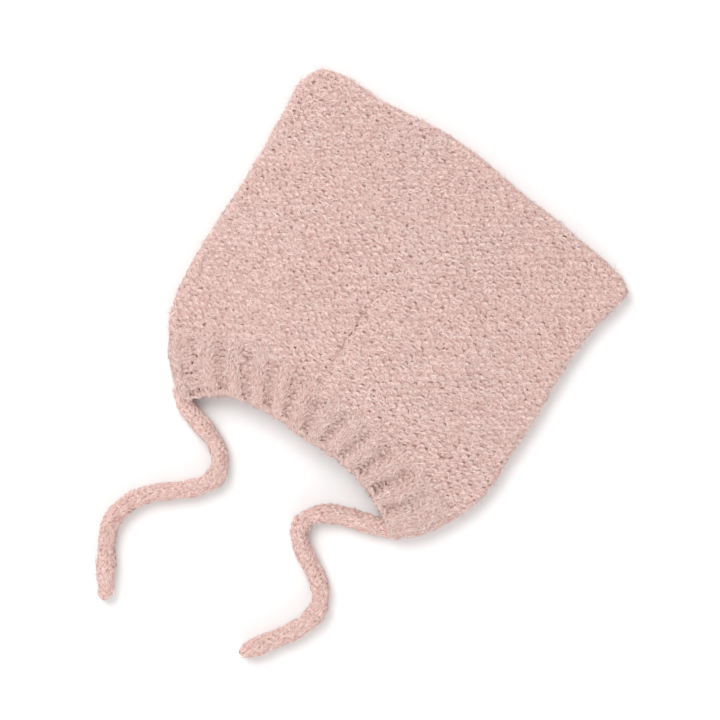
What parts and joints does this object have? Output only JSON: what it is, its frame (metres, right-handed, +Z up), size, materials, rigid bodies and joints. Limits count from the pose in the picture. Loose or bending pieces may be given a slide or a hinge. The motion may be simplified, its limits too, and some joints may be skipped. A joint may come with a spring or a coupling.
{
  "type": "knitted bonnet with cat ears and ties",
  "caption": "Knitted child's bonnet, sewn shut across the top so that its corners stand out as cat ears, with a ribbed mouth and soft knitted ties, lying flat.",
  "frame": {"origin": "on the surface that the bonnet lies on, under the middle of the crown and band's outline", "axes": "+X from the left ear to the right ear, +Y from the mouth to the ears, +Z up, away from the surface"},
  "size_m": [0.2349, 0.3453, 0.0251],
  "materials": {
    "moss_knit": "brushed pale pink yarn in moss stitch, dull and fuzzy",
    "rib_knit": "brushed pale pink yarn in two-by-two rib, dull and fuzzy",
    "tie_knit": "brushed pale pink yarn knitted into a round tie, dull and fuzzy"
  },
  "bodies": {
    "root": {"crown": "moss_knit", "ribbed_band": "rib_knit", "tie_left": "tie_knit", "tie_right": "tie_knit"}
  },
  "joints": []
}
